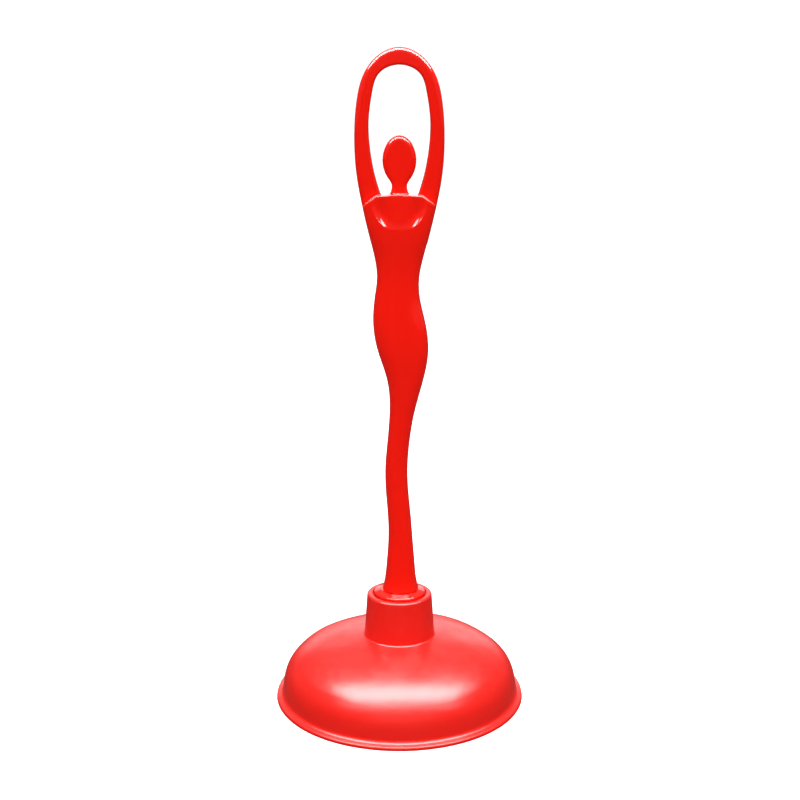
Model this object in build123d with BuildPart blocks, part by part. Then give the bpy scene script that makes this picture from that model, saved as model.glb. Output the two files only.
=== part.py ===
from build123d import *

import os

# Toilet plunger with a handle shaped as a slim standing figure, its raised arms closing
# into a hanging loop over the head. The handle is two hollow shells that close round a
# threaded foot; the foot screws into a stiff bush held in the neck of a soft suction cup.
# Frame: Z up, origin on the floor at the centre of the cup's mouth, figure facing -Y.
# Sizes are in millimetres.

# ---- suction cup ----
LIP_RADIUS = 70.0
LIP_THICKNESS = 2.3
LIP_EDGE_ROUND = 1.0
MOUTH_RADIUS = 61.6
DOME_FOOT_RADIUS = 64.4
DOME_FOOT_HEIGHT = 2.9
NECK_FOOT_RADIUS = 19.7
NECK_FOOT_HEIGHT = 36.4
NECK_TOP_RADIUS = 18.1
NECK_TOP_HEIGHT = 60.8
NECK_EDGE_ROUND = 1.3
NECK_FOOT_FILLET = 1.2
CROWN_INSIDE_HEIGHT = 32.3
DOME_FLATNESS = 2.11        # exponent on the radius: higher is a flatter crown
DOME_SQUARENESS = 2.8       # exponent on the height: higher is a tighter shoulder
DOME_POINTS = 9

# ---- joint between handle and cup ----
FIT = 0.05                  # radial gap between pieces that sit in each other
THREAD_PITCH = 4.0
THREAD_CORE_RADIUS = 6.9
THREAD_CREST_RADIUS = 8.1
THREAD_ROOT_WIDTH = 2.0
THREAD_CREST_WIDTH = 0.9
THREAD_GAP = 0.25           # running clearance on radius and flanks
THREAD_BOTTOM = 43.5
SCREW_TIP_HEIGHT = 41.9
SCREW_TIP_CHAMFER = 0.8
MALE_TURNS = 3.5
THREAD_SINK = 0.15          # how far a ridge runs into the core it stands on
BUSH_FLOOR = 1.5
BUSH_RADIUS = 11.5
BUSH_FLANGE_RADIUS = 14.0
BUSH_FLANGE_THICKNESS = 2.4
BUSH_BOTTOM = 39.6
BUSH_TOP = 59.0
SOCKET_FLOOR = 39.5
RING_OUTER_RADIUS = 14.3
RING_BORE_RADIUS = 8.5
RING_BOTTOM = 59.1
RING_TOP = 63.2
RING_EDGE_ROUND = 1.6
RECESS_RADIUS = 15.3

# ---- handle ----
LEG_BOTTOM = 63.3
WALL = 2.6                  # shell wall in legs and trunk
CAVITY_BOTTOM = 90.0
CAVITY_TOP = 264.0
ARM_HALF_DEPTH = 4.6
ARM_ROUND = 2.8
HEAD_HALF_DEPTH = 4.8
HEAD_ROUND = 2.4
SHOULDER_HEIGHT = 282.3
SHOULDER_ROUND = 1.6
SHOULDER_FLAT_HALF_WIDTH = 10.0     # the level stretch between the shoulders' slopes
SHOULDER_SLOPE_WIDTH = 5.3
SHOULDER_SLOPE_DROP = 5.9
TRIM_SIZE = 30.0                    # reaches past the figure on every side
LOOP_TOP = 357.2
WINDOW_TOP = 348.4
HEAD_TOP = 313.0
HEAD_CENTRE = 300.0
HEAD_HALF_WIDTH = 8.8
NECK_HEIGHT = 286.5                 # where the figure's neck is narrowest
NECK_HALF_WIDTH = 3.9
STEM_RADIUS = 5.2
STEM_TOP = 84.0
COLLAR_RADIUS = 6.5
COLLAR_HEIGHTS = (66.0, 74.0)
COLLAR_THICKNESS = 3.0
PIN_RADIUS = 1.2
PIN_LENGTH = 2.6
PIN_GAP = 0.1
PIN_PLACES = [(0.6, 87), (-8, 277), (8, 277), (-18.7, 300), (18.7, 300), (0, 299), (0, 352.8)]

# Sections through legs and trunk: height, centre in X, half width, depth to the front,
# depth to the back.
BODY_SECTIONS = [
    (LEG_BOTTOM, 0.6, 9.3, 9.3, 9.3),      # foot
    (76.0, 0.65, 8.1, 8.2, 8.2),
    (90.0, 0.6, 7.0, 7.5, 7.5),            # ankles
    (105.0, 0.05, 6.4, 6.9, 6.9),
    (120.0, -1.3, 6.3, 6.7, 6.7),          # calves
    (134.0, -1.7, 6.2, 6.7, 6.7),
    (149.0, -0.5, 6.1, 6.9, 6.9),          # knees
    (166.0, 1.6, 6.8, 7.6, 7.6),
    (184.0, 3.05, 10.1, 8.8, 9.6),         # thighs
    (201.0, 1.6, 13.9, 9.5, 11.3),         # seat
    (216.0, -0.2, 13.95, 9.1, 11.0),       # hips
    (228.0, -1.3, 12.0, 8.3, 9.2),
    (239.0, -0.8, 11.1, 8.0, 8.0),         # waist
    (252.0, -0.2, 13.6, 8.8, 8.1),
    (264.0, -0.15, 16.3, 10.0, 8.4),       # bust
    (274.0, -0.15, 18.9, 9.2, 8.2),
    (SHOULDER_HEIGHT, -0.1, 20.6, 8.0, 7.4),
]

# Outer and inner edges of the raised arms on the +X side, X and Z, from inside the trunk
# up towards the top of the loop, and the edge of head and neck, from its widest down.
ARM_OUTER_EDGE = [(14.7, 257), (19.0, 274.5), (22.9, 298.7), (23.4, 311), (22.0, 331), (18.8, 343)]
ARM_INNER_EDGE = [(8.6, 279), (12.3, 290.4), (15.4, 307), (16.0, 319), (14.0, 335), (11.1, 343.3)]
ARM_OUTER_LEAN = (0.24, 1)          # direction in which each edge starts
ARM_INNER_LEAN = (0.3, 1)
HEAD_EDGE = [(7.4, 307), (HEAD_HALF_WIDTH, HEAD_CENTRE), (6.0, 290.6), (NECK_HALF_WIDTH, NECK_HEIGHT)]
NECK_ROOT_HALF_WIDTH = 6.2
NECK_ROOT_HEIGHT = SHOULDER_HEIGHT - 1
NECK_SINK = 5                       # how far the neck runs down into the shoulders


def dome_height(radius, foot_radius, foot_height, crown_height, reference_radius=0.0):
    """Height of a flattened dome that stands on foot_radius and has crown_height at reference_radius."""
    def fall(r):
        return max(0.0, 1 - (r / foot_radius) ** DOME_FLATNESS) ** (1 / DOME_SQUARENESS)

    return foot_height + (crown_height - foot_height) * fall(radius) / fall(reference_radius)


def dome_points(inner_radius, foot_radius, foot_height, crown_height):
    """Points down a dome from inner_radius to its foot, closer together near the foot."""
    points = []
    for step in range(DOME_POINTS + 1):
        share = 1 - (1 - step / DOME_POINTS) ** 2.6
        radius = inner_radius + (foot_radius - inner_radius) * share
        height = dome_height(radius, foot_radius, foot_height, crown_height, inner_radius)
        points.append((radius, height))
    return points


def thread_ridge(name, start, turns, gap=0.0):
    """A right-hand helical ridge on the screw's core, grown all round by gap to cut the thread it runs in."""
    core = THREAD_CORE_RADIUS + gap
    crest = THREAD_CREST_RADIUS + gap
    taper = (THREAD_ROOT_WIDTH - THREAD_CREST_WIDTH) / (THREAD_CREST_RADIUS - THREAD_CORE_RADIUS)
    half_root = (THREAD_ROOT_WIDTH - taper * (gap - THREAD_SINK)) / 2 + gap
    half_crest = (THREAD_CREST_WIDTH - taper * gap) / 2 + gap
    with BuildPart() as ridge:
        with BuildLine():
            helix = Helix(THREAD_PITCH, turns * THREAD_PITCH, core, center=(0, 0, start))
        with BuildSketch(Plane(origin=helix @ 0, x_dir=(1, 0, 0), z_dir=helix % 0)):
            with BuildLine():
                Polyline(
                    (-THREAD_SINK, -half_root),
                    (crest - core, -half_crest),
                    (crest - core, half_crest),
                    (-THREAD_SINK, half_root),
                    close=True,
                )
            make_face()
        sweep(path=helix, is_frenet=True)
    ridge.part.label = name
    return ridge.part


# ---- suction cup: lip, dome, neck and socket in one soft moulding ----
with BuildPart() as suction_cup:
    with BuildSketch(Plane.XZ) as cup_section:
        outer_dome = dome_points(NECK_FOOT_RADIUS, DOME_FOOT_RADIUS, DOME_FOOT_HEIGHT, NECK_FOOT_HEIGHT)
        inner_dome = dome_points(0, MOUTH_RADIUS, 0, CROWN_INSIDE_HEIGHT)
        with BuildLine():
            Polyline(
                (0, CROWN_INSIDE_HEIGHT),
                (0, SOCKET_FLOOR),
                (BUSH_RADIUS + FIT, SOCKET_FLOOR),
                (BUSH_RADIUS + FIT, RING_BOTTOM - FIT),
                (RECESS_RADIUS, RING_BOTTOM - FIT),
                (RECESS_RADIUS, NECK_TOP_HEIGHT),
                (NECK_TOP_RADIUS, NECK_TOP_HEIGHT),
                (NECK_FOOT_RADIUS, NECK_FOOT_HEIGHT),
            )
            Spline(*outer_dome, tangents=[(1, -0.1), (0, -1)])
            Polyline(
                (DOME_FOOT_RADIUS, DOME_FOOT_HEIGHT),
                (LIP_RADIUS, LIP_THICKNESS),
                (LIP_RADIUS, 0),
                (MOUTH_RADIUS, 0),
            )
            Spline(*reversed(inner_dome), tangents=[(0, 1), (-1, 0)])
        make_face()
        fillet(
            [cup_section.vertices().sort_by_distance((NECK_TOP_RADIUS, NECK_TOP_HEIGHT))[0]],
            radius=NECK_EDGE_ROUND,
        )
        fillet(
            [
                cup_section.vertices().sort_by_distance((RECESS_RADIUS, NECK_TOP_HEIGHT))[0],
                cup_section.vertices().sort_by_distance((LIP_RADIUS, LIP_THICKNESS))[0],
            ],
            radius=LIP_EDGE_ROUND,
        )
        fillet(
            [
                cup_section.vertices().sort_by_distance((NECK_FOOT_RADIUS, NECK_FOOT_HEIGHT))[0],
                cup_section.vertices().sort_by_distance((DOME_FOOT_RADIUS, DOME_FOOT_HEIGHT))[0],
            ],
            radius=NECK_FOOT_FILLET,
        )
    revolve(axis=Axis.Z)
    # grooves in the socket wall that hold the bush's two flanges
    for flange_bottom in (BUSH_BOTTOM, BUSH_TOP - BUSH_FLANGE_THICKNESS):
        with Locations((0, 0, flange_bottom - FIT)):
            Cylinder(
                BUSH_FLANGE_RADIUS + FIT,
                BUSH_FLANGE_THICKNESS + 2 * FIT,
                align=(Align.CENTER, Align.CENTER, Align.MIN),
                mode=Mode.SUBTRACT,
            )
suction_cup.part.label = "suction_cup"

# ---- threaded bush: stiff insert moulded into the neck ----
groove_start = THREAD_BOTTOM - THREAD_PITCH / 4
thread_groove = thread_ridge(
    "thread_groove",
    groove_start,
    (BUSH_TOP + THREAD_ROOT_WIDTH - groove_start) / THREAD_PITCH,
    THREAD_GAP,
)
with BuildPart() as threaded_bush:
    with Locations((0, 0, BUSH_BOTTOM)):
        Cylinder(BUSH_RADIUS, BUSH_TOP - BUSH_BOTTOM, align=(Align.CENTER, Align.CENTER, Align.MIN))
    for flange_bottom in (BUSH_BOTTOM, BUSH_TOP - BUSH_FLANGE_THICKNESS):
        with Locations((0, 0, flange_bottom)):
            Cylinder(
                BUSH_FLANGE_RADIUS,
                BUSH_FLANGE_THICKNESS,
                align=(Align.CENTER, Align.CENTER, Align.MIN),
            )
    # a quarter turn lower than the screw's own ridge, so the screw never meets the groove's end
    with Locations(Location((0, 0, 0), (0, 0, -90))):
        add(thread_groove, mode=Mode.SUBTRACT)
    with Locations((0, 0, BUSH_BOTTOM + BUSH_FLOOR)):
        Cylinder(
            THREAD_CORE_RADIUS + THREAD_GAP,
            BUSH_TOP - BUSH_BOTTOM,
            align=(Align.CENTER, Align.CENTER, Align.MIN),
            mode=Mode.SUBTRACT,
        )
threaded_bush.part.label = "threaded_bush"

# ---- thrust ring: round-shouldered washer between the figure's foot and the neck ----
with BuildPart() as thrust_ring:
    with Locations((0, 0, RING_BOTTOM)):
        Cylinder(RING_OUTER_RADIUS, RING_TOP - RING_BOTTOM, align=(Align.CENTER, Align.CENTER, Align.MIN))
    with Locations((0, 0, RING_BOTTOM)):
        Cylinder(
            RING_BORE_RADIUS,
            RING_TOP - RING_BOTTOM,
            align=(Align.CENTER, Align.CENTER, Align.MIN),
            mode=Mode.SUBTRACT,
        )
    top_rim = thrust_ring.edges().filter_by(GeomType.CIRCLE).group_by(Axis.Z)[-1].sort_by(SortBy.RADIUS)[-1]
    fillet([top_rim], radius=RING_EDGE_ROUND)
thrust_ring.part.label = "thrust_ring"

# ---- threaded foot: screw below, collared stem above ----
male_ridge = thread_ridge("male_ridge", THREAD_BOTTOM, MALE_TURNS)
with BuildPart() as threaded_foot:
    with Locations((0, 0, SCREW_TIP_HEIGHT)):
        Cylinder(
            THREAD_CORE_RADIUS,
            LEG_BOTTOM - SCREW_TIP_HEIGHT,
            align=(Align.CENTER, Align.CENTER, Align.MIN),
        )
    tip = threaded_foot.edges().filter_by(GeomType.CIRCLE).group_by(Axis.Z)[0]
    chamfer(tip, length=SCREW_TIP_CHAMFER)
    add(male_ridge)
    with Locations((0, 0, SCREW_TIP_HEIGHT)):
        Cylinder(STEM_RADIUS, STEM_TOP - SCREW_TIP_HEIGHT, align=(Align.CENTER, Align.CENTER, Align.MIN))
    for height in COLLAR_HEIGHTS:
        with Locations((0, 0, height)):
            Cylinder(COLLAR_RADIUS, COLLAR_THICKNESS, align=(Align.CENTER, Align.CENTER, Align.MIN))
threaded_foot.part.label = "threaded_foot"


# ---- legs and trunk ----
def body_ellipses(inset):
    """The sections of legs and trunk, drawn in by inset; the inset ones stay within the cavity's heights."""
    sketches = []
    for height, centre, half_width, front, back in BODY_SECTIONS:
        if inset and not CAVITY_BOTTOM <= height <= CAVITY_TOP:
            continue
        with BuildSketch(Plane.XY.offset(height)) as section:
            with Locations((centre, (back - front) / 2)):
                Ellipse(half_width - inset, (front + back) / 2 - inset)
        sketches.append(section.sketch)
    return sketches


# ---- arms raised over the head, closing into the hanging loop ----
with BuildPart() as arms:
    with BuildSketch(Plane.XZ.offset(-ARM_HALF_DEPTH)) as arms_face:
        for edge_points, top, lean, mode in (
            (ARM_OUTER_EDGE, LOOP_TOP, ARM_OUTER_LEAN, Mode.ADD),
            (ARM_INNER_EDGE, WINDOW_TOP, ARM_INNER_LEAN, Mode.SUBTRACT),
        ):
            foot_x, foot_z = edge_points[0]
            with BuildLine():
                edge = Spline(*edge_points, (0, top), tangents=[lean, (-1, 0)])
                mirror(edge, about=Plane.YZ)
                Line((-foot_x, foot_z), (foot_x, foot_z))
            make_face(mode=mode)
    extrude(amount=2 * ARM_HALF_DEPTH)
    arm_edges = arms.edges().filter_by(GeomType.BSPLINE)
    fillet(arm_edges, radius=ARM_ROUND)

# ---- head and neck ----
with BuildPart() as head:
    with BuildSketch(Plane.XZ.offset(-HEAD_HALF_DEPTH)) as head_face:
        with BuildLine():
            neck_root = (NECK_ROOT_HALF_WIDTH, NECK_ROOT_HEIGHT)
            Spline((0, HEAD_TOP), *HEAD_EDGE, neck_root, tangents=[(1, -0.25), (1, -0.5)])
            Polyline(
                neck_root,
                (NECK_ROOT_HALF_WIDTH, NECK_ROOT_HEIGHT - NECK_SINK),
                (0, NECK_ROOT_HEIGHT - NECK_SINK),
                (0, HEAD_TOP),
            )
        make_face()
        mirror(about=Plane.YZ)
    extrude(amount=2 * HEAD_HALF_DEPTH)
    head_edges = head.edges().filter_by(GeomType.BSPLINE)
    fillet(head_edges, radius=HEAD_ROUND)

# ---- handle: the whole figure, before it is parted into two shells ----
with BuildPart() as figure:
    loft(body_ellipses(0))
    # the shoulders slope down to the arms
    with BuildSketch(Plane.XZ):
        with BuildLine():
            slope_foot = SHOULDER_HEIGHT - SHOULDER_SLOPE_DROP
            Polyline(
                (SHOULDER_FLAT_HALF_WIDTH, SHOULDER_HEIGHT),
                (SHOULDER_FLAT_HALF_WIDTH + SHOULDER_SLOPE_WIDTH, slope_foot),
                (TRIM_SIZE, slope_foot),
                (TRIM_SIZE, SHOULDER_HEIGHT + 1),
                (SHOULDER_FLAT_HALF_WIDTH, SHOULDER_HEIGHT + 1),
                close=True,
            )
        make_face()
        mirror(about=Plane.YZ)
    extrude(amount=TRIM_SIZE, both=True, mode=Mode.SUBTRACT)
    top_face = figure.faces().sort_by(Axis.Z)[-1]
    fillet(top_face.edges(), radius=SHOULDER_ROUND)
    add(arms.part)
    add(head.part)
    loft(body_ellipses(WALL), mode=Mode.SUBTRACT)
    # seat for the threaded foot's stem and collars
    with Locations((0, 0, LEG_BOTTOM)):
        Cylinder(
            STEM_RADIUS + FIT,
            STEM_TOP - LEG_BOTTOM + FIT,
            align=(Align.CENTER, Align.CENTER, Align.MIN),
            mode=Mode.SUBTRACT,
        )
    for height in COLLAR_HEIGHTS:
        with Locations((0, 0, height - FIT)):
            Cylinder(
                COLLAR_RADIUS + FIT,
                COLLAR_THICKNESS + 2 * FIT,
                align=(Align.CENTER, Align.CENTER, Align.MIN),
                mode=Mode.SUBTRACT,
            )

# ---- front shell, with sockets for the locating pins ----
with BuildPart() as handle_front_shell:
    add(figure.part)
    split(bisect_by=Plane.XZ, keep=Keep.TOP)
    with BuildSketch(Plane.XZ) as socket_circles:
        with Locations(*PIN_PLACES):
            Circle(PIN_RADIUS + PIN_GAP)
    extrude(amount=PIN_LENGTH + PIN_GAP, mode=Mode.SUBTRACT)
handle_front_shell.part.label = "handle_front_shell"

# ---- back shell, with the locating pins ----
with BuildPart() as handle_back_shell:
    add(figure.part)
    split(bisect_by=Plane.XZ, keep=Keep.BOTTOM)
    with BuildSketch(Plane.XZ) as pin_circles:
        with Locations(*PIN_PLACES):
            Circle(PIN_RADIUS)
    extrude(amount=PIN_LENGTH)
handle_back_shell.part.label = "handle_back_shell"

# ---- export ----
os.makedirs("parts", exist_ok=True)
for piece in (
    suction_cup,
    threaded_bush,
    thrust_ring,
    threaded_foot,
    handle_front_shell,
    handle_back_shell,
):
    export_step(piece.part, f"parts/{piece.part.label}.step")
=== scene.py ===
import math
from itertools import product

import bmesh
import bpy
import numpy as np
from mathutils import Matrix, Vector
from mathutils.geometry import delaunay_2d_cdt


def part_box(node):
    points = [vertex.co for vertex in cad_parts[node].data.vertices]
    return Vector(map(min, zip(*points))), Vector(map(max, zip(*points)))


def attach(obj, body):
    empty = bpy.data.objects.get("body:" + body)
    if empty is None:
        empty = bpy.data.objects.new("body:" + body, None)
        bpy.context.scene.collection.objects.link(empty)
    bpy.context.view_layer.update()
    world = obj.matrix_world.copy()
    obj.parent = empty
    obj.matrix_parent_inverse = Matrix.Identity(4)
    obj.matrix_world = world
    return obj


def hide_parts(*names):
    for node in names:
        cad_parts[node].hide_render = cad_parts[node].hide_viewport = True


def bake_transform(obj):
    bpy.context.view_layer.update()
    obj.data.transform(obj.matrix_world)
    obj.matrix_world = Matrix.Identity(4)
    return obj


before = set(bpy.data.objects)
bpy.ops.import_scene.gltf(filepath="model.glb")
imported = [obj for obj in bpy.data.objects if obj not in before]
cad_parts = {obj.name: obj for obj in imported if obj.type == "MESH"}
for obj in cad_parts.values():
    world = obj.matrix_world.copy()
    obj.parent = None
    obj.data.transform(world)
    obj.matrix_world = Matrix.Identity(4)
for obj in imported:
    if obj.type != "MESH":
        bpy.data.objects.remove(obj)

bl_info = {
    "name": "Figure Plunger Builder",
    "version": (1, 0, 0),
    "blender": (4, 5, 0),
    "location": "View3D > Sidebar > Plunger",
    "description": "Builds the visible pieces of a toilet plunger with a figure-shaped handle",
    "category": "Object",
}

MM = 0.001

CUP_NODE = "suction_cup"
BUSH_NODE = "threaded_bush"
RING_NODE = "thrust_ring"
FOOT_NODE = "threaded_foot"
FRONT_NODE = "handle_front_shell"
BACK_NODE = "handle_back_shell"

CUP_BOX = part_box(CUP_NODE)
RING_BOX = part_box(RING_NODE)
SHELL_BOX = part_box(FRONT_NODE)
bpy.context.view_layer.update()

# Heights and radii read from the frame, in millimetres.
LIP_RADIUS = CUP_BOX[1].x / MM
NECK_TOP = CUP_BOX[1].z / MM
RING_RADIUS = RING_BOX[1].x / MM
RING_BOTTOM = RING_BOX[0].z / MM
RING_TOP = RING_BOX[1].z / MM
LEG_BOTTOM = SHELL_BOX[0].z / MM
LOOP_TOP = SHELL_BOX[1].z / MM


# ---------------------------------------------------------------------------
# The figure, in millimetres
# ---------------------------------------------------------------------------

# Legs and trunk: height, centre in X, half width, depth to the front, depth to the back.
BODY_SECTIONS = np.array([
    (LEG_BOTTOM, 0.6, 10.1, 9.9, 9.9),     # foot
    (68.5, 0.6, 8.95, 8.9, 8.9),
    (78.5, 0.65, 7.85, 8.1, 8.1),
    (90.0, 0.6, 6.95, 7.5, 7.5),            # ankles
    (105.0, 0.0, 6.4, 6.9, 6.9),
    (120.0, -1.25, 6.25, 6.7, 6.7),         # calves
    (134.0, -1.65, 6.15, 6.7, 6.7),
    (149.0, -0.5, 6.1, 6.9, 6.9),           # knees
    (166.0, 1.5, 6.9, 7.6, 7.6),
    (184.0, 3.1, 10.0, 8.8, 9.6),           # thighs
    (200.0, 1.85, 13.7, 9.5, 11.2),         # seat
    (215.0, -0.15, 13.95, 9.1, 10.9),       # hips
    (228.0, -1.15, 12.1, 8.3, 9.2),
    (239.0, -0.7, 11.3, 8.0, 8.0),          # waist
    (252.0, -0.2, 13.5, 8.5, 8.0),
    (264.0, -0.15, 16.5, 9.2, 8.3),         # bust
    (274.0, -0.15, 18.7, 8.9, 8.2),
    (286.0, 0.0, 20.9, 8.3, 7.6),
]).T

# The arms' edges on the +X side, from inside the trunk up to near the top of the loop.
ARM_OUTER_EDGE = [
    (14.7, 257), (19.0, 274.5), (22.95, 298.7), (23.4, 311),
    (22.0, 331), (18.8, 343), (10.2, 353.7),
]
ARM_INNER_EDGE = [(8.6, 279), (12.3, 290.4), (15.4, 307), (16.0, 319), (14.0, 335), (11.1, 343.3)]
WINDOW_TOP = 348.4
# The head's edge on the +X side, from inside the shoulders up to the crown.
HEAD_EDGE = [
    (6.4, 276), (5.3, 281.5), (4.2, 285), (4.0, 287.6),
    (6.1, 291.4), (8.8, 300), (7.4, 307), (4.3, 311.3),
]
HEAD_TOP = 313.0

# The sections are near ellipses in the legs and squarer from the hips up: the heights where the
# squareness is that of the legs, the hips, the waist and the bust.
SQUARENESS_HEIGHTS = (150, 215, 250, 268)
LEG_SQUARENESS = 2.3

# The trunk ends in a level top, a little higher under the neck, that slopes down at the sides.
SHOULDER_BREAK = 12.2
SHOULDER_SLOPE = (0.629, 0.777)
NECK_RISE = 0.9
NECK_RISE_WIDTH = 6.5
FOOT_ROUND = 0.6
HEAD_TO_ARM_FILLET = 0.8
ARM_TO_TRUNK_FILLET = 0.45

# The bust's two hollows end below at a crest that rises towards the sides.
CREST_MIDDLE = 265.0
CREST_RISE = 5.95
CREST_REACH = 11.7
HOLLOW_HEIGHT = 5.0
HOLLOW_CENTRE = 9.3
HOLLOW_WIDTH = 2.8
HOLLOW_BETWEEN = 0.22
CHEST_WIDTH = 12.0

# The space inside the shells, and the seat that they close round the threaded foot.
CAVITY_BOTTOM = 90
CAVITY_TOP = 264
STEM_SEAT_RADIUS = 5.3
STEM_SEAT_TOP = 84.1
COLLAR_SEAT_RADIUS = 6.6
COLLAR_SEAT_MIDDLE = 70.5
COLLAR_SEAT_HALF_HEIGHT = 6.6

# The block of space that the figure's mesh is looked for in.
FIGURE_REACH_X = 25.0
FIGURE_REACH_FRONT = 12.5
FIGURE_REACH_BACK = 13.0
FIGURE_MARGIN_Z = 1.5

# The pocket in the neck that the bush and its two flanges are locked in.
RECESS_FLOOR = 59.05
FLANGE_SEAT_RADIUS = 14.05
BUSH_SEAT_RADIUS = 11.55
UPPER_FLANGE_SEAT = 56.55
LOWER_FLANGE_SEAT = 42.05
POCKET_FLOOR = 39.5

# The lip's edge leans in by this much, in millimetres.
LIP_LEAN = 0.45

# The ring's bore, the edge of its flat top, and how far below that its shoulder starts.
RING_BORE = 8.5
RING_FLAT_RADIUS = 10.4
RING_DROP = 1.2

# How many straight stretches make a full turn of each lathed piece.
CUP_SPOKES = 288
RING_SPOKES = 192
FLOOR_SPOKES = 96


def cubic_through(knots, values, at):
    """A natural cubic spline through the knots, evaluated at the given places."""
    knots = np.asarray(knots, float)
    values = np.asarray(values, float)
    gaps = np.diff(knots)
    rises = np.diff(values, axis=0) / gaps.reshape(-1, *([1] * (values.ndim - 1)))
    count = len(knots)
    system = np.eye(count)
    right = np.zeros_like(values)
    for i in range(1, count - 1):
        system[i, i - 1:i + 2] = gaps[i - 1], 2 * (gaps[i - 1] + gaps[i]), gaps[i]
        right[i] = 6 * (rises[i] - rises[i - 1])
    bends = np.linalg.solve(system, right)
    i = np.clip(np.searchsorted(knots, at) - 1, 0, count - 2)
    shape = (*np.shape(at), *([1] * (values.ndim - 1)))
    gap = gaps[i].reshape(shape)
    ahead = ((knots[i + 1] - at)).reshape(shape) / gap
    behind = 1 - ahead
    curve = (ahead**3 - ahead) * bends[i] + (behind**3 - behind) * bends[i + 1]
    return ahead * values[i] + behind * values[i + 1] + curve * gap**2 / 6


def mirrored_outline(edge, top, steps=640):
    """A closed outline from one side's edge points and the level top that they rise to."""
    edge = np.array(edge, float)
    points = np.vstack([edge, [(0, top)], edge[::-1] * (-1, 1)])
    along = np.concatenate([[0], np.cumsum(np.linalg.norm(np.diff(points, axis=0), axis=1))])
    return cubic_through(along, points, np.linspace(0, along[-1], steps))


def within(points, starts, ends):
    """Which points lie inside the closed loops that the edges make, by counting crossings."""
    x, z = points[:, :1], points[:, 1:]
    spans = (starts[:, 1] > z) != (ends[:, 1] > z)
    rise = ends[:, 1] - starts[:, 1]
    run = (z - starts[:, 1]) * (ends[:, 0] - starts[:, 0]) / np.where(rise == 0, 1, rise)
    return np.sum(spans & (x < starts[:, 0] + run), axis=1) % 2 == 1


class OutlineMap:
    """Distances in the XZ plane to a mirrored outline, negative inside, read from a fine grid."""

    step = 0.25
    margin = 6
    portions = 24

    def __init__(self, outline):
        self.low = np.array((0.0, outline[:, 1].min() - self.margin))
        high = outline.max(axis=0) + self.margin
        self.count = np.ceil((high - self.low) / self.step).astype(int) + 1
        x, z = (low + self.step * np.arange(n) for low, n in zip(self.low, self.count))
        points = np.stack(np.meshgrid(x, z, indexing="ij"), axis=-1).reshape(-1, 2)
        ends = np.roll(outline, -1, axis=0)
        edge = ends - outline
        square = np.sum(edge**2, axis=1)
        rows = []
        for part in np.array_split(points, self.portions):
            across, up = part[:, :1] - outline[:, 0], part[:, 1:] - outline[:, 1]
            share = np.clip((across * edge[:, 0] + up * edge[:, 1]) / square, 0, 1)
            away = (across - share * edge[:, 0])**2 + (up - share * edge[:, 1])**2
            nearest = np.sqrt(np.min(away, axis=1))
            rows.append(nearest * np.where(within(part, outline, ends), -1, 1))
        self.table = np.concatenate(rows).reshape(self.count)

    def __call__(self, x, z):
        x, z = np.broadcast_arrays(np.abs(x), z)
        places = np.stack([x, z], axis=-1)
        inner = np.clip((places - self.low) / self.step, 0, self.count - 1.001)
        beyond = np.linalg.norm(places - (self.low + inner * self.step), axis=-1)
        corner = inner.astype(int)
        across, up = np.moveaxis(inner - corner, -1, 0)
        i, k = np.moveaxis(corner, -1, 0)
        low = self.table[i, k] * (1 - across) + self.table[i + 1, k] * across
        high = self.table[i, k + 1] * (1 - across) + self.table[i + 1, k + 1] * across
        return low * (1 - up) + high * up + beyond


def round_union(a, b, radius):
    """Joins two distance fields with a small fillet between them."""
    share = np.clip(0.5 + 0.5 * (b - a) / radius, 0, 1)
    return b * (1 - share) + a * share - radius * share * (1 - share)


def round_overlap(a, b, radius):
    """The overlap of two distance fields, its outer edge rounded."""
    inner = np.minimum(np.maximum(a, b), -radius)
    return inner + np.hypot(np.maximum(a + radius, 0), np.maximum(b + radius, 0))


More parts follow.
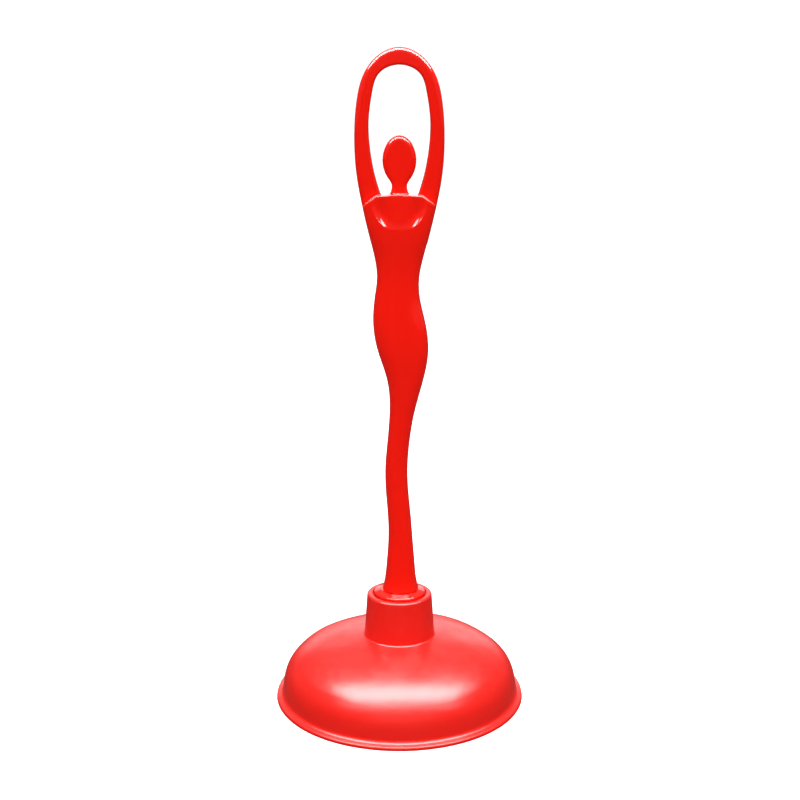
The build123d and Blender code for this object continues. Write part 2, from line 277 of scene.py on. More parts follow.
class Figure:
    """The handle's shape as one distance field, in millimetres."""

    def __init__(self, sizes):
        self.arm_depth = sizes.arm_half_depth / MM
        self.arm_round = sizes.arm_edge_round / MM
        self.window_round = sizes.window_edge_round / MM
        self.head_depth = sizes.head_half_depth / MM
        self.head_round = sizes.head_edge_round / MM
        self.shoulder_round = sizes.shoulder_edge_round / MM
        self.shoulder = sizes.shoulder_height / MM
        self.bust_scoop = sizes.bust_scoop / MM
        self.wall = sizes.wall / MM
        self.hip_squareness = sizes.hip_squareness
        self.bust_squareness = sizes.bust_squareness
        self.arm_outline = OutlineMap(mirrored_outline(ARM_OUTER_EDGE, LOOP_TOP))
        self.window_outline = OutlineMap(mirrored_outline(ARM_INNER_EDGE, WINDOW_TOP))
        self.head_outline = OutlineMap(mirrored_outline(HEAD_EDGE, HEAD_TOP))

    def trunk(self, x, y, z, inset=0.0):
        """Legs and trunk as squared ellipses, with the bust's hollows above its crest."""
        heights = BODY_SECTIONS[0]
        level = np.clip(z, heights[0], heights[-1])
        centre, width, front, back = cubic_through(heights, BODY_SECTIONS[1:].T, level.ravel()).T
        centre = centre.reshape(level.shape)
        width = width.reshape(level.shape) - inset
        back = back.reshape(level.shape) - inset
        front = front.reshape(level.shape) - self.bust_hollow(x, z) - inset
        depth = np.where(y < 0, front, back)
        hip = self.hip_squareness
        power = np.interp(z, SQUARENESS_HEIGHTS, (LEG_SQUARENESS, hip, hip, self.bust_squareness))
        u = np.maximum(np.abs(x - centre) / width, 1e-4)
        v = np.maximum(np.abs(y) / depth, 1e-4)
        size = (u**power + v**power)**(1 / power)
        steep = size**(1 - power) * np.hypot(u**(power - 1) / width, v**(power - 1) / depth)
        return (size - 1) / np.maximum(steep, 0.5 / width)

    def bust_hollow(self, x, z):
        """Depth of the two shallow hollows whose lower edges are the bust's crest."""
        crest = CREST_MIDDLE + CREST_RISE * (np.abs(x) / CREST_REACH)**3
        above = np.maximum(z - crest, 0) / HOLLOW_HEIGHT
        beside = np.exp(-((np.abs(x) - HOLLOW_CENTRE) / HOLLOW_WIDTH)**2)
        wide = np.exp(-(x / CHEST_WIDTH)**4)
        return above * np.exp(1 - above) * (self.bust_scoop * beside + HOLLOW_BETWEEN * wide)

    def slab(self, distance, y, half_depth, edge_round):
        """A flat shape of the given outline distance, its edges rounded front and back."""
        return round_overlap(distance, np.abs(y) - half_depth, edge_round)

    def solid(self, x, y, z):
        """The whole outer shape of the handle."""
        trunk = self.trunk(x, y, z)
        top = self.shoulder + NECK_RISE * np.exp(-(x / NECK_RISE_WIDTH)**2)
        out, up = SHOULDER_SLOPE
        slope = (np.abs(x) - SHOULDER_BREAK) * out + (z - self.shoulder) * up
        ends = np.maximum(z - top, slope)
        trunk = round_overlap(trunk, ends, self.shoulder_round)
        trunk = round_overlap(trunk, LEG_BOTTOM - z, FOOT_ROUND)
        arms = self.slab(self.arm_outline(x, z), y, self.arm_depth, self.arm_round)
        arms = round_overlap(arms, -self.window_outline(x, z), self.window_round)
        head = self.slab(self.head_outline(x, z), y, self.head_depth, self.head_round)
        upper = round_union(arms, head, HEAD_TO_ARM_FILLET)
        return round_union(trunk, upper, ARM_TO_TRUNK_FILLET)

    def hollow(self, x, y, z):
        """The space inside the shells, and the seat of the threaded foot's collared stem."""
        ends = np.maximum(CAVITY_BOTTOM - z, z - CAVITY_TOP)
        cavity = np.maximum(self.trunk(x, y, z, self.wall), ends)
        radius = np.hypot(x, y)
        stem = np.maximum(radius - STEM_SEAT_RADIUS, z - STEM_SEAT_TOP)
        level = np.abs(z - COLLAR_SEAT_MIDDLE) - COLLAR_SEAT_HALF_HEIGHT
        collars = np.maximum(radius - COLLAR_SEAT_RADIUS, level)
        return np.minimum(cavity, np.minimum(stem, collars))

    def field(self, x, y, z):
        """The handle's plastic: the solid less its hollow."""
        return np.maximum(self.solid(x, y, z), -self.hollow(x, y, z))


def polygonise(field, low, high, cell):
    """Quads over the field's zero surface, with one point in each cell that it crosses."""
    axes = [np.arange(a, b + cell, cell) for a, b in zip(low, high)]
    values = field(axes[0][:, None, None], axes[1][None, :, None], axes[2][None, None, :])
    inside = values < 0
    cells = tuple(n - 1 for n in inside.shape)
    corners = [
        inside[i:cells[0] + i, j:cells[1] + j, k:cells[2] + k]
        for i, j, k in product((0, 1), repeat=3)
    ]
    filled = sum(c.astype(np.int8) for c in corners)
    places = np.argwhere((filled > 0) & (filled < 8))
    number = np.full(cells, -1)
    number[tuple(places.T)] = np.arange(len(places))
    total = np.zeros((len(places), 3))
    hits = np.zeros((len(places), 1))
    for axis in range(3):
        step = np.eye(3, dtype=int)[axis]
        others = [a for a in range(3) if a != axis]
        for offset in product((0, 1), repeat=2):
            corner = np.zeros(3, int)
            corner[others] = offset
            first = places + corner
            a = values[tuple(first.T)]
            b = values[tuple((first + step).T)]
            crossed = (a < 0) != (b < 0)
            share = np.where(crossed, a / np.where(crossed, a - b, 1), 0)
            point = first + share[:, None] * step
            total += point * crossed[:, None]
            hits += crossed[:, None]
    points = total / hits * cell + [a[0] for a in axes]
    quads = []
    for axis in range(3):
        one, two = [a for a in range(3) if a != axis]
        front = np.moveaxis(inside, axis, 0)
        changes = np.moveaxis(np.diff(front.astype(np.int8), axis=0), 0, axis)
        for sign in (-1, 1):
            edges = np.argwhere(changes == sign)
            edges = edges[(edges[:, one] > 0) & (edges[:, two] > 0)]
            keep = np.all(edges[:, [one, two]] < np.array(cells)[[one, two]], axis=1)
            edges = edges[keep]
            ring = [(-1, -1), (0, -1), (0, 0), (-1, 0)]
            if (sign == 1) == (axis != 1):
                ring.reverse()
            quad = []
            for shift in ring:
                cell_place = edges.copy()
                cell_place[:, one] += shift[0]
                cell_place[:, two] += shift[1]
                quad.append(number[tuple(cell_place.T)])
            quads.append(np.stack(quad, axis=1))
    return points, np.vstack(quads)


def gradient(field, points, reach=0.02):
    """The field's slope at each point."""
    slopes = []
    for axis in range(3):
        shift = np.zeros(3)
        shift[axis] = reach
        slopes.append(field(*(points + shift).T) - field(*(points - shift).T))
    return np.stack(slopes, axis=1) / (2 * reach)


def draw_onto(field, points, rounds=3, flattest=0.05, longest=0.3):
    """Moves points onto the field's zero surface, by no more than the longest step a round."""
    for _ in range(rounds):
        slope = gradient(field, points)
        size = np.maximum(np.sum(slope**2, axis=1), flattest)
        step = (field(*points.T) / size)[:, None] * slope
        points = points - np.clip(step, -longest, longest)
    return points


# ---------------------------------------------------------------------------
# Meshes
# ---------------------------------------------------------------------------

# Two points nearer than this are one point, in millimetres.
SAME_POINT = 1e-5
# How far the shell's edge is drawn in, as a share of its bevel.
EDGE_DRAWN_IN = 0.8
# How the bevelled edge's shading leans from the shell's own towards the parting plane.
EDGE_OWN_SHARE = 0.78
EDGE_PARTING_SHARE = 0.63
# The shading follows the field over this distance, about half a mesh cell.
SHADING_REACH = 0.3


def shell_half(name, points, quads, field, side, bevel):
    """One shell of the handle: the half on one side of the parting plane, its edge bevelled."""
    mesh = bpy.data.meshes.new(name)
    mesh.from_pydata(points, [], quads.tolist())
    work = bmesh.new()
    work.from_mesh(mesh)
    for at, clear in ((side * bevel, False), (0.0, True)):
        bmesh.ops.bisect_plane(
            work,
            geom=work.verts[:] + work.edges[:] + work.faces[:],
            dist=SAME_POINT,
            plane_co=(0, at, 0),
            plane_no=(0, -side, 0),
            clear_outer=clear,
        )
    rim = [v for v in work.verts if v.is_boundary]
    places = np.array([v.co for v in rim])
    slope = gradient(field, places)
    slope[:, 1] = 0
    slope /= np.maximum(np.linalg.norm(slope, axis=1), 1e-6)[:, None]
    for vertex, place in zip(rim, places - slope * bevel * EDGE_DRAWN_IN):
        vertex.co = (place[0], 0, place[2])
    number = {v: i for i, v in enumerate(rim)}
    border = [e for e in work.edges if e.is_boundary]
    pairs = np.array([[number[v] for v in e.verts] for e in border])
    flat = np.array([(v.co.x, v.co.z) for v in rim])
    found = delaunay_2d_cdt([tuple(p) for p in flat], pairs.tolist(), [], 0, SAME_POINT)
    places = np.array(found[0])
    middles = np.array([places[list(face)].mean(axis=0) for face in found[2]])
    kept = within(middles, flat[pairs[:, 0]], flat[pairs[:, 1]])
    corners = [
        rim[source[0]] if source else work.verts.new((place[0], 0, place[1]))
        for place, source in zip(places, found[3])
    ]
    for edge in border:
        edge.smooth = False
    for face in work.faces:
        face.smooth = True
    for face, keep in zip(found[2], kept):
        if keep:
            work.faces.new([corners[i] for i in face]).smooth = False
    bmesh.ops.recalc_face_normals(work, faces=work.faces)
    work.verts.index_update()
    edge_points = {v.index for v in rim}
    work.to_mesh(mesh)
    work.free()
    shade_along(mesh, field, side, edge_points)
    mesh.transform(Matrix.Scale(MM, 4))
    obj = bpy.data.objects.new(name, mesh)
    bpy.context.scene.collection.objects.link(obj)
    return obj


def shade_along(mesh, field, side, edge_points):
    """Takes a shell's shading normals from its field, so that its gloss runs smoothly."""
    places = np.array([v.co for v in mesh.vertices])
    normals = gradient(field, places, SHADING_REACH)
    normals /= np.maximum(np.linalg.norm(normals, axis=1), 1e-6)[:, None]
    tilted = list(edge_points)
    parting = np.array((0, -side, 0)) * EDGE_PARTING_SHARE
    normals[tilted] = normals[tilted] * EDGE_OWN_SHARE + parting
    corners = np.array([loop.vertex_index for loop in mesh.loops])
    normals = normals[corners]
    for face in mesh.polygons:
        if not face.use_smooth:
            normals[face.loop_start:face.loop_start + face.loop_total] = face.normal
    mesh.normals_split_custom_set(normals.tolist())


def rounded_path(corners, step=12):
    """A path through (r, z, rounding) corners, each rounded corner turned into an arc."""
    path = []
    for i, (r, z, rounding) in enumerate(corners):
        here = np.array((r, z), float)
        if not rounding:
            path.append(here)
            continue
        before = np.array(corners[i - 1][:2], float) - here
        after = np.array(corners[(i + 1) % len(corners)][:2], float) - here
        before /= np.linalg.norm(before)
        after /= np.linalg.norm(after)
        half = math.acos(np.clip(before @ after, -1, 1)) / 2
        inward = (before + after) / np.linalg.norm(before + after)
        centre = here + inward * rounding / math.sin(half)
        start = here + before * rounding / math.tan(half) - centre
        end = here + after * rounding / math.tan(half) - centre
        sweep = math.pi - 2 * half
        turn = math.copysign(sweep, start[0] * end[1] - start[1] * end[0])
        for share in np.linspace(0, 1, step):
            c, s = math.cos(turn * share), math.sin(turn * share)
            path.append(centre + (c * start[0] - s * start[1], s * start[0] + c * start[1]))
    return np.array(path)


def lathe(name, path, spokes):
    """A closed (r, z) path turned round the Z axis. Points on the axis become one point."""
    turns = np.linspace(0, 2 * math.pi, spokes, endpoint=False)
    points = []
    rings = []
    for r, z in path:
        if r < 1e-6:
            rings.append([len(points)] * spokes)
            points.append((0, 0, z))
        else:
            rings.append(list(range(len(points), len(points) + spokes)))
            points.extend((r * math.cos(t), r * math.sin(t), z) for t in turns)
    faces = []
    closed = path[0][0] > 1e-6
    last = len(rings) if closed else len(rings) - 1
    for i in range(last):
        a, b = rings[i], rings[(i + 1) % len(rings)]
        for k in range(spokes):
            n = (k + 1) % spokes
            corners = list(dict.fromkeys((a[k], a[n], b[n], b[k])))
            if len(corners) > 2:
                faces.append(corners)
    mesh = bpy.data.meshes.new(name)
    mesh.from_pydata(np.array(points) * MM, [], faces)
    work = bmesh.new()
    work.from_mesh(mesh)
    bmesh.ops.recalc_face_normals(work, faces=work.faces)
    for face in work.faces:
        face.smooth = True
    work.to_mesh(mesh)
    work.free()
    obj = bpy.data.objects.new(name, mesh)
    bpy.context.scene.collection.objects.link(obj)
    return obj


# ---------------------------------------------------------------------------
# Materials
# ---------------------------------------------------------------------------

# Sizes of the plastics' patterns, in millimetres, and the noise levels that the gloss follows.
CLOUD_SIZE = 18
SCUFF_SIZE = 4
SCUFF_LEVELS = (0.35, 0.75)
# The paper's fibres, drawn coarser than real ones so that they show.
FIBRE_SIZE = 2
FIBRE_DEPTH = 0.05


def linear(colour):
    """An sRGB hex colour as linear RGBA."""
    channels = [int(colour[i:i + 2], 16) / 255 for i in (1, 3, 5)]
    return (*(c / 12.92 if c <= 0.04045 else ((c + 0.055) / 1.055)**2.4 for c in channels), 1.0)


def add_node(tree, kind, settings=(), inputs=(), links=()):
    """Adds a node, sets its properties and sockets, and links other nodes' outputs to it."""
    node = tree.nodes.new(kind)
    for name, value in dict(settings).items():
        setattr(node, name, value)
    for name, value in dict(inputs).items():
        node.inputs[name].default_value = value
    for name, (source, output) in dict(links).items():
        tree.links.new(source.outputs[output], node.inputs[name])
    return node


def start_material(name):
    """An empty node material with its shader and the object's own coordinates."""
    material = bpy.data.materials.new(name)
    material.use_nodes = True
    tree = material.node_tree
    shader = tree.nodes["Principled BSDF"]
    place = add_node(tree, "ShaderNodeTexCoord")
    return material, tree, shader, place


def moulded_plastic(name, colour, shade, roughness, smear, ripple_mm, ripple_depth_mm):
    """A moulded plastic: two close colours, uneven gloss, and the faint ripple of its skin."""
    material, tree, shader, place = start_material(name)
    coordinates = {"Vector": (place, "Object")}
    cloud = add_node(
        tree,
        "ShaderNodeTexNoise",
        (),
        {"Scale": 1 / (CLOUD_SIZE * MM), "Detail": 3.0},
        coordinates,
    )
    tint = add_node(
        tree,
        "ShaderNodeMix",
        {"data_type": "RGBA"},
        {"A": linear(colour), "B": linear(shade)},
        {"Factor": (cloud, "Fac")},
    )
    scuff = add_node(
        tree,
        "ShaderNodeTexNoise",
        (),
        {"Scale": 1 / (SCUFF_SIZE * MM), "Detail": 2.0},
        coordinates,
    )
    gloss = add_node(
        tree,
        "ShaderNodeMapRange",
        (),
        {
            "From Min": SCUFF_LEVELS[0],
            "From Max": SCUFF_LEVELS[1],
            "To Min": roughness,
            "To Max": roughness + smear,
        },
        {"Value": (scuff, "Fac")},
    )
    ripple = add_node(
        tree,
        "ShaderNodeTexNoise",
        (),
        {"Scale": 1 / (ripple_mm * MM), "Detail": 2.0},
        coordinates,
    )
    bump = add_node(
        tree,
        "ShaderNodeBump",
        (),
        {"Strength": 1.0, "Distance": ripple_depth_mm * MM},
        {"Height": (ripple, "Fac")},
    )
    tree.links.new(tint.outputs["Result"], shader.inputs["Base Color"])
    tree.links.new(gloss.outputs["Result"], shader.inputs["Roughness"])
    tree.links.new(bump.outputs["Normal"], shader.inputs["Normal"])
    return material, shader


def polished_abs(name, finish):
    """ABS from a polished mould: deep even colour, a clear sharp gloss, hardly any texture."""
    material, shader = moulded_plastic(
        name,
        finish.handle_colour,
        finish.handle_shade,
        finish.handle_roughness,
        smear=0.05,
        ripple_mm=5.0,
        ripple_depth_mm=0.012,
    )
    shader.inputs["IOR"].default_value = 1.53
    return material


def soft_pvc(name, finish):
    """Plasticised PVC: a waxy satin skin, its slow ripple a little felt in the broad highlight."""
    material, shader = moulded_plastic(
        name,
        finish.cup_colour,
        finish.cup_shade,
        finish.cup_roughness,
        smear=0.07,
        ripple_mm=8.0,
        ripple_depth_mm=0.16,
    )
    shader.inputs["IOR"].default_value = 1.52
    return material


def natural_nylon(name, finish):
    """Unfilled nylon as moulded: milky off-white, dull, and slightly see-through at the edges."""
    material, shader = moulded_plastic(
        name,
        finish.bush_colour,
        finish.bush_shade,
        roughness=0.42,
        smear=0.1,
        ripple_mm=1.5,
        ripple_depth_mm=0.02,
    )
    shader.inputs["IOR"].default_value = 1.53
    shader.inputs["Subsurface Weight"].default_value = 0.15
    shader.inputs["Subsurface Radius"].default_value = (0.003, 0.0025, 0.002)
    return material


def give(obj, material):
    """Puts the material on the piece, in place of any that it had."""
    obj.data.materials.clear()
    obj.data.materials.append(material)


# ---------------------------------------------------------------------------
# Settings
# ---------------------------------------------------------------------------


def length(name, description, default_mm):
    """A length property with its default in millimetres."""
    return bpy.props.FloatProperty(
        name=name,
        description=description,
        default=default_mm * MM,
        min=0.0,
        precision=5,
        subtype="DISTANCE",
        unit="LENGTH",
    )


def colour(name, description, default_hex):
    """A colour property, as sRGB hex."""
    return bpy.props.StringProperty(name=name, description=description, default=default_hex)


def brightness(name, description, default):
    """A light's brightness, where 1 is a white wall in even light."""
    return bpy.props.FloatProperty(name=name, description=description, default=default, min=0.0)


class PlungerFigureSettings(bpy.types.PropertyGroup):
    """Sizes of the handle."""

    arm_half_depth: length("Arm half depth", "From the parting plane to the front of an arm", 4.6)
    arm_edge_round: length("Arm edge round", "Rounding along the arms and the loop", 2.5)
    window_edge_round: length("Window edge round", "Rounding inside the loop", 1.0)
    head_half_depth: length("Head half depth", "From the parting plane to the face", 4.8)
    head_edge_round: length("Head edge round", "Rounding round the head", 2.4)
    shoulder_height: length("Shoulder height", "Top of the trunk", 282.3)
    shoulder_edge_round: length("Shoulder edge round", "Rounding along the top of the trunk", 0.65)
    bust_scoop: length("Bust scoop", "Depth of the hollows above the bust", 2.0)
    wall: length("Wall", "Thickness of the shells", 2.6)
    parting_bevel: length("Parting bevel", "Bevel where the two shells meet", 0.16)
    cell: length("Mesh cell", "Size of the quads over the figure", 0.6)
    hip_squareness: bpy.props.FloatProperty(
        name="Hip squareness",
        description="2 is an ellipse, more is a flatter front with rounder edges",
        default=3.0,
        min=2.0,
        max=6.0,
    )
    bust_squareness: bpy.props.FloatProperty(
        name="Bust squareness",
        description="The same above the waist",
        default=4.0,
        min=2.0,
        max=6.0,
    )


class PlungerCupSettings(bpy.types.PropertyGroup):
    """Sizes of the suction cup and the ring."""

    lip_thickness: length("Lip thickness", "Height of the lip's edge", 1.8)
    mouth_radius: length("Mouth radius", "Inside of the lip", 61.6)
    dome_foot_radius: length("Dome foot radius", "Where the dome stands on the lip", 66.0)
    dome_foot_height: length("Dome foot height", "Height of the lip beside the dome", 2.75)
    neck_foot_radius: length("Neck foot radius", "Neck where it meets the dome", 19.7)
    neck_foot_height: length("Neck foot height", "Height of the dome at the neck", 36.4)
    neck_top_radius: length("Neck top radius", "Neck at its rim", 18.1)
    recess_radius: length("Recess radius", "Hole in the rim that the ring sits in", 15.0)
    crown_inside: length("Crown inside", "Inside height of the dome", 32.3)
    waviness: length("Waviness", "How far the soft dome is from true", 0.16)
    ring_round: length("Ring round", "Rounding of the ring's shoulder", 0.9)


class PlungerFinishSettings(bpy.types.PropertyGroup):
    """Colours, as sRGB hex, and gloss."""

    handle_colour: colour("Handle colour", "Red ABS", "#F01605")
    handle_shade: colour("Handle shade", "Its darker patches", "#EA1304")
    cup_colour: colour("Cup colour", "Red soft PVC", "#E01000")
    cup_shade: colour("Cup shade", "Its darker patches", "#DB0E00")
    bush_colour: colour("Bush colour", "Natural nylon", "#E6E0D2")
    bush_shade: colour("Bush shade", "Its darker patches", "#DCD5C4")
    handle_roughness: bpy.props.FloatProperty(
        name="Handle roughness", description="0 is a mirror", default=0.04, min=0, max=1
    )
    cup_roughness: bpy.props.FloatProperty(
        name="Cup roughness", description="0 is a mirror", default=0.28, min=0, max=1
    )


class PlungerStageSettings(bpy.types.PropertyGroup):
    """Camera and light."""

    camera_distance: length("Camera distance", "In front of the handle's axis", 700.0)
    camera_height: length("Camera height", "Above the floor", 341.0)
    camera_pitch: bpy.props.FloatProperty(
        name="Camera pitch",
        description="Below the horizon",
        default=math.radians(13.58),
        subtype="ANGLE",
    )
    camera_lens: bpy.props.FloatProperty(
        name="Camera lens", description="On a 36 mm sensor", default=59.7, subtype="DISTANCE_CAMERA"
    )
    overhead: brightness("Overhead", "The large soft light over the object", 3.0)
    overhead_gloss: brightness("Overhead gloss", "Its middle, in reflections", 18.5)
    overhead_edge: brightness("Overhead edge", "Its front, in reflections", 4.5)
    floor_fill: brightness("Floor fill", "The matt light that comes up off the floor", 0.4)
    front_fill: brightness("Front fill", "The matt fill light in front", 1.7)
    back_fill: brightness("Back fill", "The matt fill light behind", 1.0)
    backdrop: brightness("Backdrop", "The lit wall low behind the object, in reflections", 1.4)
    floor_colour: colour("Floor colour", "Pale paper", "#F4F4F4")


# ---------------------------------------------------------------------------
# Operators
# ---------------------------------------------------------------------------


class PLUNGER_OT_handle(bpy.types.Operator):
    """Build the two shells of the figure-shaped handle"""

    bl_idname = "plunger.handle"
    bl_label = "Handle Shells"

    def execute(self, context):
        sizes = context.scene.plunger_figure
        finish = context.scene.plunger_finish
        figure = Figure(sizes)
        low = (-FIGURE_REACH_X, -FIGURE_REACH_FRONT, LEG_BOTTOM - FIGURE_MARGIN_Z)
        high = (FIGURE_REACH_X, FIGURE_REACH_BACK, LOOP_TOP + FIGURE_MARGIN_Z)
        points, quads = polygonise(figure.field, low, high, sizes.cell / MM)
        points = draw_onto(figure.field, points)
        material = polished_abs("Polished ABS", finish)
        for node, side in ((FRONT_NODE, -1), (BACK_NODE, 1)):
            name = node.replace("_shell", "")
            shell = shell_half(name, points, quads, figure.field, side, sizes.parting_bevel / MM)
            give(shell, material)
            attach(shell, "handle")
            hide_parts(node)
        return {"FINISHED"}


class PLUNGER_OT_cup(bpy.types.Operator):
    """Build the soft suction cup with its lip, dome and neck"""

    bl_idname = "plunger.cup"
    bl_label = "Suction Cup"

    # The dome's section is a superellipse, a little fuller towards its foot.
    dome_power_across = 2.11
    dome_power_up = 2.8
    dome_crowding = 2.6
    # The waviness fades out over these distances from the neck and from the lip.
    neck_fade = 14
    foot_fade = 6

    def dome(self, inner_radius, foot_radius, foot_height, crown_height, count):
        """Points down a flattened dome, closer together near its foot."""
        share = 1 - (1 - np.linspace(0, 1, count))**self.dome_crowding
        radius = inner_radius + (foot_radius - inner_radius) * share

        def fall(r):
            left = np.maximum(0, 1 - (r / foot_radius)**self.dome_power_across)
            return left**(1 / self.dome_power_up)

        height = foot_height + (crown_height - foot_height) * fall(radius) / fall(inner_radius)
        return np.stack([radius, height], axis=1)

    def execute(self, context):
        sizes = context.scene.plunger_cup
        finish = context.scene.plunger_finish
        foot_r, foot_z = sizes.dome_foot_radius / MM, sizes.dome_foot_height / MM
        neck_r, neck_z = sizes.neck_foot_radius / MM, sizes.neck_foot_height / MM
        mouth, crown = sizes.mouth_radius / MM, sizes.crown_inside / MM
        outer = self.dome(neck_r, foot_r, foot_z, neck_z, 90)[::-1]
        inner = self.dome(0, mouth, 0, crown, 60)
        lip = [
            (mouth, 0, 0.3),
            (LIP_RADIUS, 0, 0.4),
            (LIP_RADIUS - LIP_LEAN, sizes.lip_thickness / MM, 0.9),
            (foot_r, foot_z, 2.3),
        ]
        edge = rounded_path([(*inner[-4], 0), *lip, (*outer[4], 0)])[1:-1]
        recess = sizes.recess_radius / MM
        neck = rounded_path([
            (*outer[-5], 0),
            (neck_r, neck_z, 1.2),
            (sizes.neck_top_radius / MM, NECK_TOP, 1.3),
            (recess, NECK_TOP, 0.6),
            (recess, RECESS_FLOOR, 0.3),
            (FLANGE_SEAT_RADIUS, RECESS_FLOOR, 0),
            (FLANGE_SEAT_RADIUS, UPPER_FLANGE_SEAT, 0),
            (BUSH_SEAT_RADIUS, UPPER_FLANGE_SEAT, 0),
            (BUSH_SEAT_RADIUS, LOWER_FLANGE_SEAT, 0),
            (FLANGE_SEAT_RADIUS, LOWER_FLANGE_SEAT, 0),
            (FLANGE_SEAT_RADIUS, POCKET_FLOOR, 0),
            (0, POCKET_FLOOR, 0),
        ])[1:]
        path = np.vstack([inner[:-4], edge, outer[5:-5], neck])
        cup = lathe("suction_cup_soft", path, CUP_SPOKES)
        self.warp(cup, sizes.waviness, foot_r, neck_r)
        give(cup, soft_pvc("Soft PVC", finish))
        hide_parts(CUP_NODE)
        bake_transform(cup)
        return {"FINISHED"}

    def warp(self, cup, waviness, foot_radius, neck_radius):
        """Lets the dome wander a little up and down, as a soft moulding does between its edges."""
        mesh = cup.data
        co = np.zeros(len(mesh.vertices) * 3)
        mesh.vertices.foreach_get("co", co)
        co = co.reshape(-1, 3)
        radius = np.hypot(co[:, 0], co[:, 1]) / MM
        turn = np.arctan2(co[:, 1], co[:, 0])
        from_neck = np.clip((radius - neck_radius) / self.neck_fade, 0, 1)
        from_foot = np.clip((foot_radius - radius) / self.foot_fade, 0, 1)
        middle = from_neck * from_foot
        middle = middle * middle * (3 - 2 * middle) * np.clip(co[:, 2] / MM / self.foot_fade, 0, 1)
        # eight short waves and three long ones round the dome
        short = np.sin(8 * turn + 0.3) * np.sin((radius - 46) / 6)
        long = 0.8 * np.sin(3 * turn + 1) * np.sin(radius / 9)
        co[:, 2] += (short + long) * middle * waviness
        mesh.vertices.foreach_set("co", co.ravel())
        mesh.update()


class PLUNGER_OT_ring(bpy.types.Operator):
    """Build the glossy ring between the figure's foot and the neck"""

    bl_idname = "plunger.ring"
    bl_label = "Thrust Ring"

    def execute(self, context):
        sizes = context.scene.plunger_cup
        shoulder = sizes.ring_round / MM
        path = rounded_path([
            (RING_BORE, RING_BOTTOM, 0.2),
            (RING_RADIUS, RING_BOTTOM, 0.3),
            (RING_RADIUS, RING_TOP - RING_DROP, shoulder),
            (RING_FLAT_RADIUS, RING_TOP, 0.8),
            (RING_BORE, RING_TOP, 0.3),
        ])
        ring = lathe("thrust_ring_polished", path, RING_SPOKES)
        give(ring, polished_abs("Polished ABS Ring", context.scene.plunger_finish))
        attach(ring, "thrust_ring")
        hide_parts(RING_NODE)
        return {"FINISHED"}


class PLUNGER_OT_screw_parts(bpy.types.Operator):
    """Give the threaded bush and the threaded foot their plastics"""

    bl_idname = "plunger.screw_parts"
    bl_label = "Screw Parts"

    def execute(self, context):
        finish = context.scene.plunger_finish
        give(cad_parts[BUSH_NODE], natural_nylon("Natural Nylon", finish))
        give(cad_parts[FOOT_NODE], polished_abs("Polished ABS Foot", finish))
        return {"FINISHED"}


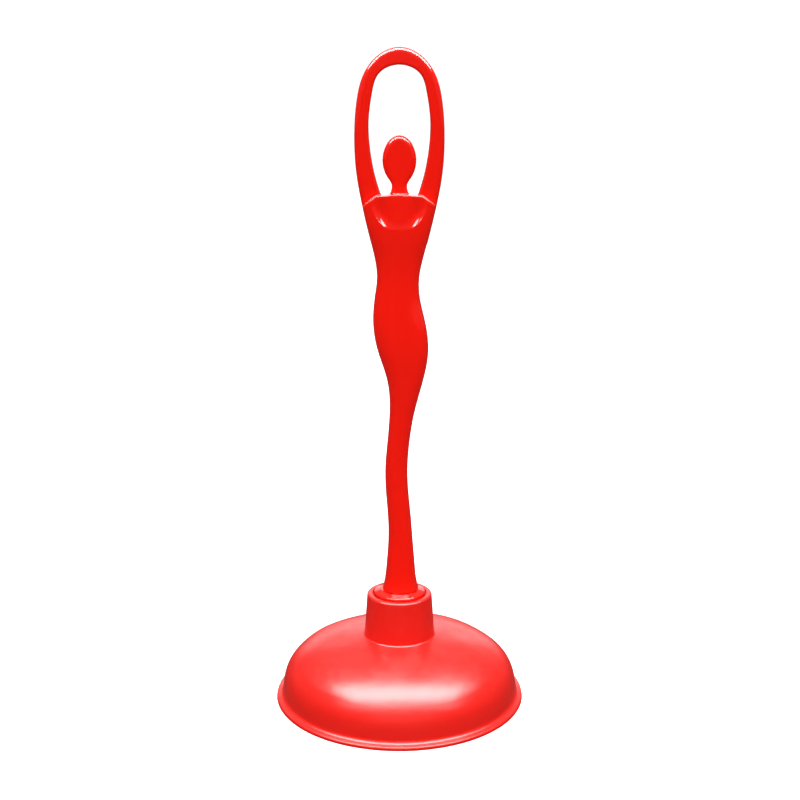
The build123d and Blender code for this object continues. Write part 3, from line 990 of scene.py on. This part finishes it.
class PLUNGER_OT_stage(bpy.types.Operator):
    """Set the pale floor, the soft lights and the camera"""

    bl_idname = "plunger.stage"
    bl_label = "Stage"

    # Each light's place, size and target in metres, and which rays see it. The matt and the
    # glossy part of the overhead light are apart, and at different heights, so that none hides
    # another.
    softboxes = {
        "overhead": ((0, -0.9, 2.8), (6.0, 3.6), (0, -0.9, 0), "diffuse"),
        "overhead_gloss": ((0, -0.135, 0.75), (1.3, 0.43), (0, -0.135, 0), "glossy"),
        "overhead_edge": ((0, -2.04, 2.7), (8.4, 1.3), (0, -2.04, 0), "glossy"),
        "floor_fill": ((0, 0, 0.001), (3.0, 3.0), (0, 0, 1), "diffuse"),
        "front_fill": ((0, -3.0, 1.2), (3.0, 2.0), (0, 0, 0.2), "diffuse"),
        "back_fill": ((0, 3.0, 1.2), (3.0, 2.0), (0, 0, 0.2), "diffuse"),
    }
    # The room's grey by height, from the horizon to straight up.
    room_levels = ((0.0, 0.08), (0.02, 0.22), (0.45, 0.3), (0.8, 0.6))
    ceiling_level = 0.7
    # Where the lit wall starts and is full: over the horizon, under its top, and round behind.
    wall_edges = (("Z", 0.0, 0.08), ("Z", 0.66, 0.54), ("Y", 0.86, 0.92))
    # The floor is a bowl far wider than the object, in millimetres.
    floor_radius = 4600
    floor_bend = 1500
    floor_height = 4200
    floor_thickness = 20
    floor_glow = 0.45
    # The camera stands a hair to the right of the object's axis.
    camera_shift = 0.0003

    def softbox(self, name, place, size, target, seen_by, level):
        """A rectangular light of even brightness that faces the target."""
        data = bpy.data.lights.new(name, "AREA")
        data.shape = "RECTANGLE"
        data.size, data.size_y = size
        data.energy = level * math.pi * size[0] * size[1]
        light = bpy.data.objects.new(name, data)
        bpy.context.scene.collection.objects.link(light)
        light.location = place
        light.rotation_euler = (Vector(target) - Vector(place)).to_track_quat("-Z", "Y").to_euler()
        light.visible_camera = False
        light.visible_diffuse = seen_by == "diffuse"
        light.visible_glossy = seen_by == "glossy"

    def floor(self, paper):
        """A wide round sheet of pale paper that curves up on all sides, seen but not reflected."""
        outside = self.floor_radius + self.floor_thickness
        path = rounded_path([
            (0, 0, 0),
            (self.floor_radius, 0, self.floor_bend),
            (self.floor_radius, self.floor_height, 0),
            (outside, self.floor_height, 0),
            (outside, -self.floor_thickness, 0),
            (0, -self.floor_thickness, 0),
        ])
        floor = lathe("floor", path, FLOOR_SPOKES)
        material, tree, shader, place = start_material("Pale Paper")
        fibre = add_node(
            tree,
            "ShaderNodeTexNoise",
            (),
            {"Scale": 1 / (FIBRE_SIZE * MM), "Detail": 4.0},
            {"Vector": (place, "Object")},
        )
        bump = add_node(
            tree,
            "ShaderNodeBump",
            (),
            {"Strength": 0.2, "Distance": FIBRE_DEPTH * MM},
            {"Height": (fibre, "Fac")},
        )
        tree.links.new(bump.outputs["Normal"], shader.inputs["Normal"])
        shader.inputs["Base Color"].default_value = linear(paper)
        shader.inputs["Roughness"].default_value = 0.9
        shader.inputs["Emission Color"].default_value = (1, 1, 1, 1)
        shader.inputs["Emission Strength"].default_value = self.floor_glow
        floor.data.materials.append(material)
        floor.visible_glossy = False
        floor.visible_diffuse = False
        floor.visible_shadow = False

    def studio(self, backdrop):
        """A dim room, dark below the horizon, with a lit wall low behind the object."""
        world = bpy.data.worlds.new("studio")
        world.use_nodes = True
        tree = world.node_tree
        place = add_node(tree, "ShaderNodeTexCoord")
        way = add_node(tree, "ShaderNodeSeparateXYZ", (), (), {"Vector": (place, "Generated")})
        room = add_node(tree, "ShaderNodeValToRGB", (), (), {"Fac": (way, "Z")})
        ramp = room.color_ramp
        for at, level in self.room_levels:
            stop = ramp.elements.new(at) if at else ramp.elements[0]
            stop.color = (level, level, level, 1)
        ramp.elements[-1].color = (self.ceiling_level, self.ceiling_level, self.ceiling_level, 1)
        wall = None
        for axis, none, full in self.wall_edges:
            edge = add_node(
                tree,
                "ShaderNodeMapRange",
                {"interpolation_type": "SMOOTHSTEP"},
                {"From Min": none, "From Max": full},
                {"Value": (way, axis)},
            ).outputs["Result"]
            if wall is None:
                wall = edge
                continue
            both = add_node(tree, "ShaderNodeMath", {"operation": "MULTIPLY"})
            tree.links.new(wall, both.inputs[0])
            tree.links.new(edge, both.inputs[1])
            wall = both.outputs["Value"]
        total = add_node(tree, "ShaderNodeMath", {"operation": "MULTIPLY_ADD"})
        tree.links.new(wall, total.inputs[0])
        total.inputs[1].default_value = backdrop
        tree.links.new(room.outputs["Color"], total.inputs[2])
        tree.links.new(total.outputs["Value"], tree.nodes["Background"].inputs["Strength"])
        tree.nodes["Background"].inputs["Color"].default_value = (1, 1, 1, 1)
        bpy.context.scene.world = world

    def execute(self, context):
        stage = context.scene.plunger_stage
        self.floor(stage.floor_colour)
        for name, (place, size, target, seen_by) in self.softboxes.items():
            self.softbox(name, place, size, target, seen_by, getattr(stage, name))
        self.studio(stage.backdrop)
        context.scene.view_settings.view_transform = "Standard"
        data = bpy.data.cameras.new("camera")
        data.lens = stage.camera_lens
        data.sensor_width = 36.0
        camera = bpy.data.objects.new("camera", data)
        context.scene.collection.objects.link(camera)
        camera.location = (self.camera_shift, -stage.camera_distance, stage.camera_height)
        camera.rotation_euler = (math.pi / 2 - stage.camera_pitch, 0, 0)
        context.scene.camera = camera
        return {"FINISHED"}


class PLUNGER_PT_panel(bpy.types.Panel):
    """Lists the pieces and their settings"""

    bl_idname = "PLUNGER_PT_panel"
    bl_label = "Figure Plunger"
    bl_space_type = "VIEW_3D"
    bl_region_type = "UI"
    bl_category = "Plunger"

    def draw(self, context):
        layout = self.layout
        for settings, operators in PANEL_ROWS:
            box = layout.box()
            group = getattr(context.scene, settings)
            for name in group.bl_rna.properties.keys():
                if name not in ("rna_type", "name"):
                    box.prop(group, name)
            for operator in operators:
                box.operator(operator)


SETTINGS = {
    "plunger_figure": PlungerFigureSettings,
    "plunger_cup": PlungerCupSettings,
    "plunger_finish": PlungerFinishSettings,
    "plunger_stage": PlungerStageSettings,
}
PANEL_ROWS = (
    ("plunger_figure", ("plunger.handle",)),
    ("plunger_cup", ("plunger.cup", "plunger.ring")),
    ("plunger_finish", ("plunger.screw_parts",)),
    ("plunger_stage", ("plunger.stage",)),
)
CLASSES = (
    PlungerFigureSettings,
    PlungerCupSettings,
    PlungerFinishSettings,
    PlungerStageSettings,
    PLUNGER_OT_handle,
    PLUNGER_OT_cup,
    PLUNGER_OT_ring,
    PLUNGER_OT_screw_parts,
    PLUNGER_OT_stage,
    PLUNGER_PT_panel,
)


def register():
    for each in CLASSES:
        bpy.utils.register_class(each)
    for name, group in SETTINGS.items():
        setattr(bpy.types.Scene, name, bpy.props.PointerProperty(type=group))


def unregister():
    for name in SETTINGS:
        delattr(bpy.types.Scene, name)
    for each in reversed(CLASSES):
        bpy.utils.unregister_class(each)


def main():
    """Registers the add-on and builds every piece."""
    register()
    bpy.ops.plunger.stage()
    bpy.ops.plunger.cup()
    bpy.ops.plunger.ring()
    bpy.ops.plunger.screw_parts()
    bpy.ops.plunger.handle()


if __name__ == "__main__":
    main()
